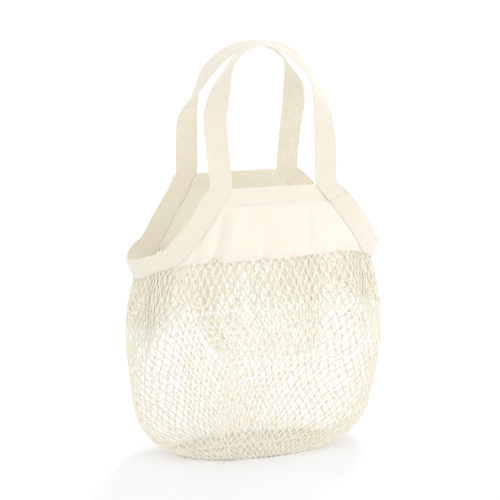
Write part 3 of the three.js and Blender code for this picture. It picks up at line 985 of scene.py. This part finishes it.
def tape_on_handle(side, hand, offsets):
    """The middle of the tape from the mouth to the handle's top: rows of points square to the
    handle's line, turned about it by the table of twists. Where the outer edge runs ahead, the
    turn changes across the row, and the row is the sum of its short turned steps."""
    lead, bulge = CURLS.get((side, hand), (0, 0))

    def line(along):
        rise, reach, lean, sway = through(HANDLE_ROWS, along)
        top = HANDLE_SPACING / 2
        mouth = BAG_HALF_DEPTH * COLLAR_SECTIONS[-1][2] - CLOTH_MIDDLE
        reach = HANDLE_HALF_SPAN * reach + bulge * bell((along - CURL_PLACE) / CURL_BREADTH)
        return np.stack([hand * reach + HANDLE_SWAY * sway,
                         top + lean * (mouth - top),
                         MOUTH_HEIGHT + HANDLE_HEIGHT * rise], -1)
    along = np.linspace(0, 1, HANDLE_STATIONS)
    ahead, behind = np.minimum(along + STEP, 1), np.maximum(along - STEP, 0)
    tangent = line(ahead) - line(behind)
    tangent[-1] = (-hand, 0, 0)
    tangent = unit(tangent)
    inwards = np.array([0.0, -1, 0])
    lean = unit(inwards - tangent * (tangent @ inwards)[:, None])
    radial = unit(np.cross(tangent, lean)) * hand
    ahead = along[:, None] + lead * np.sin(np.pi * along)[:, None] * offsets / offsets[-1]
    turn = np.radians(through(TWIST_ROWS[side, hand], ahead)[0])[..., None]
    across = radial[:, None] * np.cos(turn) + lean[:, None] * np.sin(turn)
    steps = (across[:, 1:] + across[:, :-1]) / 2 * np.diff(offsets)[:, None]
    row = np.concatenate([np.zeros_like(steps[:, :1]), np.cumsum(steps, axis=1)], 1)
    middle = len(offsets) // 2
    return line(along)[:, None] + row - row[:, middle:middle + 1]


def strap_grid(side, width):
    """The middle of a whole strap, its outward normal, its half thickness as a share, and its
    place along and across in mm. The two halves meet at the handle's top. Each row is moved
    several times to the mean of itself and its neighbours, then even rows are taken."""
    half = width / 2
    fine, (first, count) = np.array(TAPE_EDGE), TAPE_MIDDLE
    even = np.linspace(first - half, half - first, count)
    offsets = np.concatenate([fine - half, even, half - fine[::-1]])
    left, right = (np.concatenate([tape_on_collar(side, hand, width, offsets),
                                   tape_on_handle(side, hand, offsets)]) for hand in (-1, 1))
    middle = np.concatenate([right, left[-2::-1]])[:, ::-1]
    for _ in range(STRAP_ROUNDS):
        middle[1:-1] = middle[1:-1] / 2 + (middle[2:] + middle[:-2]) / 4
    line = len(offsets) // 2
    length = run_of(middle[:, line])
    even = np.linspace(0, length[-1], STRAP_STATIONS)
    order = np.interp(even, length, np.arange(len(length)))
    low = np.minimum(order.astype(int), len(length) - 2)
    part = (order - low)[:, None, None]
    middle = middle[low] * (1 - part) + middle[low + 1] * part
    normal = unit(np.cross(np.gradient(middle, axis=1), np.gradient(middle, axis=0)))
    across = np.broadcast_to(offsets[::-1], middle.shape[:2])
    along = np.broadcast_to(even[:, None], middle.shape[:2])
    free = np.clip((middle[..., 2] - MOUTH_HEIGHT) / 30, 0, 1)
    wave = 0.5 * np.sin(along / 17 + 2 * side) * np.sin(across / 6 + along / 41)
    curl = 0.6 * (across / half) ** 2 * np.sin(along / 33 + side)
    middle = middle + normal * ((wave + curl) * free)[..., None]
    turn = len(even) // 2
    for part, way in ((slice(0, turn), 1), (slice(None, turn, -1), -1)):
        place = np.interp(MOUTH_HEIGHT - LAP_DROP, middle[part, line, 2], even[part])
        ahead = way * (along - place)
        lap = LAP_RISE * np.exp(-np.clip(ahead, 0, None) / 12) / (1 + np.exp(-ahead / 0.25))
        middle = middle + normal * (lap - 0.9 * bell((ahead + 0.9) / 0.5))[..., None]
    near = half - np.abs(across)
    thick = rounded(near, 0.8) * (1 + 0.18 * bell((near - 1.2) / 0.7))
    middle = middle - normal * (0.35 * np.exp(-near / 0.8) * (1 - free))[..., None]
    return middle, normal, thick, np.stack([along, across], -1)


# Stitches

def stitches_on(points, normals, gap, length):
    """Stitches along a line of points on a face: at even steps, a path of five points that starts
    and ends below the face and rises just above it between."""
    lengths = run_of(points)
    starts = np.arange(gap, lengths[-1] - gap, gap)
    places = starts[:, None] + np.linspace(0, 1, 5) * length
    table = np.column_stack([lengths, points, normals])
    path, outward = np.split(np.stack(between(table, places), -1), 2, -1)
    outward = unit(outward)
    rise = np.array([-0.3, 0, 0.06, 0, -0.3])
    return path + outward * rise[:, None], outward


# What a user may change

def metres(name, description, default, low, high):
    """A length in metres, with its lowest and highest values."""
    return FloatProperty(name=name, description=description, default=default, min=low, max=high,
                         subtype="DISTANCE", unit="LENGTH")


def turned(name, description, degrees):
    """An angle given in degrees and kept in radians."""
    return FloatProperty(name=name, description=description, default=math.radians(degrees),
                         subtype="ANGLE", unit="ROTATION")


def colour_of(what, default):
    """The colour of a part of the bag or the stage."""
    return FloatVectorProperty(name="Colour", description=f"Colour of the {what}", size=3, min=0,
                               max=1, default=default, subtype="COLOR")


class NetSizes(bpy.types.PropertyGroup):
    columns: IntProperty(name="Cells round", description="How many cells the net has round the bag",
                         default=78, min=24, max=120)
    samples: IntProperty(name="Points a half cell", description="How finely a yarn is bent",
                         default=6, min=3, max=10)
    yarn: metres("Yarn", "Thickness of the yarn", 0.0014, 0.0005, 0.004)
    knot: metres("Knot", "Height of a knot", 0.0032, 0.001, 0.01)
    colour: colour_of("yarn", (0.985, 0.938, 0.805))


class CanvasSizes(bpy.types.PropertyGroup):
    thickness: metres("Thickness", "Thickness of the canvas at its hem", 0.0018, 0.0005, 0.004)
    hem: metres("Hem width", "Width of the hem along the mouth", 0.02, 0.005, 0.03)
    colour: colour_of("canvas", (0.882, 0.85, 0.768))


class TapeSizes(bpy.types.PropertyGroup):
    width: metres("Width", "Width of the tape", 0.025, 0.015, 0.04)
    thickness: metres("Thickness", "Thickness of the tape", 0.0017, 0.0005, 0.004)
    stitch: metres("Stitch", "Step from one stitch to the next", 0.0034, 0.002, 0.008)
    colour: colour_of("tape", (0.872, 0.836, 0.752))


class StageSettings(bpy.types.PropertyGroup):
    colour: colour_of("floor", (0.965, 0.97, 1))
    daylight: FloatProperty(name="Soft light", description="Strength of the light all round",
                            default=0.965, min=0, max=5)
    key: FloatProperty(name="Main light", description="Power of the light from the front",
                       default=6, min=0, max=500, unit="POWER")
    top: FloatProperty(name="Top light", description="Strength of the light from above and behind",
                       default=0.5, min=0, max=20)
    azimuth: turned("Azimuth", "Camera's turn round the bag, left is less", -20)
    elevation: turned("Elevation", "Camera's height above level", 11.5)
    distance: metres("Distance", "From the camera to the bag's middle", 1.87, 0.5, 10)
    lens: FloatProperty(name="Lens", description="Focal length", default=122.4, min=20, max=400,
                        subtype="DISTANCE_CAMERA", unit="CAMERA")


# Operators

class BAG_OT_net(bpy.types.Operator):
    """Knots the net pouch: its yarns, its knots and the seam under its base"""

    bl_idname = "bag.net"
    bl_label = "Net pouch"

    def execute(self, context):
        sizes = context.scene.bag_net
        yarn = sizes.yarn / MM
        finish = yarn_finish(sizes.colour)
        column, row = yarn_paths(sizes.columns, yarn, sizes.samples)
        paths, outward = net_point(column, row, sizes.columns)
        draw = np.random.default_rng(YARN_SEED)
        phase = np.arange(paths.shape[1]) / 9 + draw.uniform(0, 6, (len(paths), 1))
        radius = yarn / 2 * (1 + YARN_UNEVEN * np.sin(phase))
        names = ("net_yarns_back", "net_yarns_left", "net_yarns_front")
        parts = [(name, paths[part], outward[part], radius[part])
                 for name, part in zip(names, np.array_split(np.arange(len(paths)), len(names)))]
        for number, pleat in enumerate(PLEATS):
            pleated = pleat_paths(sizes.columns, column, row, pleat)
            parts.append((f"net_pleats_{number}", *pleated, yarn / 2))
        swell = yarn / 2 * np.array([0.7, 1.45, 1.75, 1.45, 0.7])
        parts.append(("net_knots", *knot_paths(sizes.columns, sizes.knot / MM), swell))
        for part in parts:
            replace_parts(thread_piece(*part, "net", finish), "net_pouch")
        seam = thread_piece("net_base_seam", *base_seam_path(yarn), yarn * 1.2, "net", finish, 8)
        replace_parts(seam, "net_pouch")
        return {"FINISHED"}


class BAG_OT_canvas(bpy.types.Operator):
    """Cuts and hems the two canvas panels of the collar"""

    bl_idname = "bag.canvas"
    bl_label = "Canvas panels"

    def execute(self, context):
        sizes = context.scene.bag_canvas
        hem, tape = sizes.hem / MM, context.scene.bag_tape.width / MM
        finish = canvas_finish(sizes.colour, hem)
        for name, side in (("front_panel", -1), ("back_panel", 1)):
            grid = panel_grid(side, tape, hem)
            middle, _, _, place = grid
            piece = cloth_piece(name, side, grid, sizes.thickness / MM, "canvas", finish)
            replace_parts(piece, name.replace("panel", "canvas"))
            area_of(middle) * MM * MM
        return {"FINISHED"}


class BAG_OT_tape(bpy.types.Operator):
    """Runs the two tape straps from corner to corner over the bag as its handles"""

    bl_idname = "bag.tape"
    bl_label = "Tape straps"

    def execute(self, context):
        sizes = context.scene.bag_tape
        width = sizes.width / MM
        finish = tape_finish(sizes.colour, width)
        for name, side in (("front_tape", -1), ("back_tape", 1)):
            grid = strap_grid(side, width)
            piece = cloth_piece(name, side, grid, sizes.thickness / MM, "tape", finish)
            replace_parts(piece, name.replace("tape", "strap"))
        return {"FINISHED"}


class BAG_OT_stitching(bpy.types.Operator):
    """Sews the stitches along the hems, the seams and the edges of the tape"""

    bl_idname = "bag.stitching"
    bl_label = "Stitching"

    def execute(self, context):
        canvas, tape = context.scene.bag_canvas, context.scene.bag_tape
        width, hem, gap = tape.width / MM, canvas.hem / MM, tape.stitch / MM
        finish = thread_finish(canvas.colour)
        for name, side in (("front_stitching", -1), ("back_stitching", 1)):
            panel, strap = panel_grid(side, width, hem), strap_grid(side, width)
            heights, offsets = panel[3][:, 0, 1], strap[3][0, :, 1]
            lines = []
            for height in (COLLAR_HEIGHT - hem + HEM_STITCH, FOOT_STITCH):
                row = np.abs(heights - height).argmin()
                lines.append((panel, np.s_[row, STITCH_FREE:-STITCH_FREE], canvas.thickness))
            column = np.abs(offsets + width / 2 - EDGE_STITCH).argmin()
            on_collar = strap[0][:, column, 2] < MOUTH_HEIGHT
            for rows in np.array_split(np.arange(len(on_collar)), 2):
                lines.append((strap, np.s_[rows[on_collar[rows]], column], tape.thickness))
            pairs = []
            for grid, part, thickness in lines:
                middle, normal, thick = (each[part] for each in grid[:3])
                for out in (-normal, normal):
                    face = middle + out * (thick * thickness / MM / 2)[:, None]
                    pairs.append(stitches_on(face, out, gap, gap * STITCH_SHARE))
            paths, outward = (mirrored(np.concatenate(each), side) for each in zip(*pairs))
            thread_piece(name, paths, outward, THREAD_RADIUS, "canvas", finish)
        return {"FINISHED"}


class BAG_OT_stage(bpy.types.Operator):
    """Lays the pale floor and sets the soft lights and the camera"""

    bl_idname = "bag.stage"
    bl_label = "Floor, lights and camera"

    def execute(self, context):
        scene, settings = context.scene, context.scene.bag_stage
        mesh = bpy.data.meshes.new("floor")
        far = FLOOR_REACH
        corners = [(-far, -far, 0), (far, -far, 0), (far, far, 0), (-far, far, 0)]
        mesh.from_pydata(corners, [], [(0, 1, 2, 3)])
        mesh.materials.append(floor_finish(settings.colour))
        floor = placed("floor", mesh)
        world = bpy.data.worlds.new("soft daylight")
        world.use_nodes = True
        background = world.node_tree.nodes["Background"]
        background.inputs["Color"].default_value = (1, 1, 1, 1)
        background.inputs["Strength"].default_value = settings.daylight
        scene.world = world
        for name, kind, power, place, extent, value in (
                ("main light", "AREA", settings.key, MAIN_LIGHT_PLACE, "size", MAIN_LIGHT_SIZE),
                ("top light", "SUN", settings.top, TOP_LIGHT_PLACE, "angle", TOP_LIGHT_ANGLE)):
            light = bpy.data.lights.new(name, kind)
            light.energy = power
            setattr(light, extent, value)
            placed(name, light, place, Vector(LIGHT_AIM) - Vector(place))
        level = math.cos(settings.elevation)
        back = Vector((math.sin(settings.azimuth) * level, -math.cos(settings.azimuth) * level,
                       math.sin(settings.elevation)))
        eye = bpy.data.cameras.new("camera")
        eye.lens = settings.lens
        eye.sensor_width = SENSOR_WIDTH
        eye.shift_x = CAMERA_SHIFT
        spot = Vector(CAMERA_AIM) + back * settings.distance
        scene.camera = placed("camera", eye, spot, -back)
        scene.view_settings.view_transform = "Standard"
        return {"FINISHED"}


class VIEW3D_PT_bag(bpy.types.Panel):
    """Lists the steps that build the bag, with the sizes and colours each one uses"""

    bl_idname = "VIEW3D_PT_bag"
    bl_label = "String shopping bag"
    bl_space_type = "VIEW_3D"
    bl_region_type = "UI"
    bl_category = "String bag"

    def draw(self, context):
        for step, group, name in STEPS:
            box = self.layout.box()
            box.operator(step.bl_idname)
            for setting in group.__annotations__ if group else ():
                box.prop(getattr(context.scene, name), setting)


# Each step with the class of its settings and their name in the scene. The stitching has none.
STEPS = (
    (BAG_OT_stage, StageSettings, "bag_stage"),
    (BAG_OT_net, NetSizes, "bag_net"),
    (BAG_OT_canvas, CanvasSizes, "bag_canvas"),
    (BAG_OT_tape, TapeSizes, "bag_tape"),
    (BAG_OT_stitching, None, None),
)


def register():
    for step, group, name in STEPS:
        bpy.utils.register_class(step)
        if group:
            bpy.utils.register_class(group)
            setattr(bpy.types.Scene, name, PointerProperty(type=group))
    bpy.utils.register_class(VIEW3D_PT_bag)


def unregister():
    bpy.utils.unregister_class(VIEW3D_PT_bag)
    for step, group, name in reversed(STEPS):
        if group:
            delattr(bpy.types.Scene, name)
            bpy.utils.unregister_class(group)
        bpy.utils.unregister_class(step)


def main():
    register()
    bpy.ops.bag.stage()
    bpy.ops.bag.net()
    bpy.ops.bag.canvas()
    bpy.ops.bag.tape()
    bpy.ops.bag.stitching()


if __name__ == "__main__":
    main()
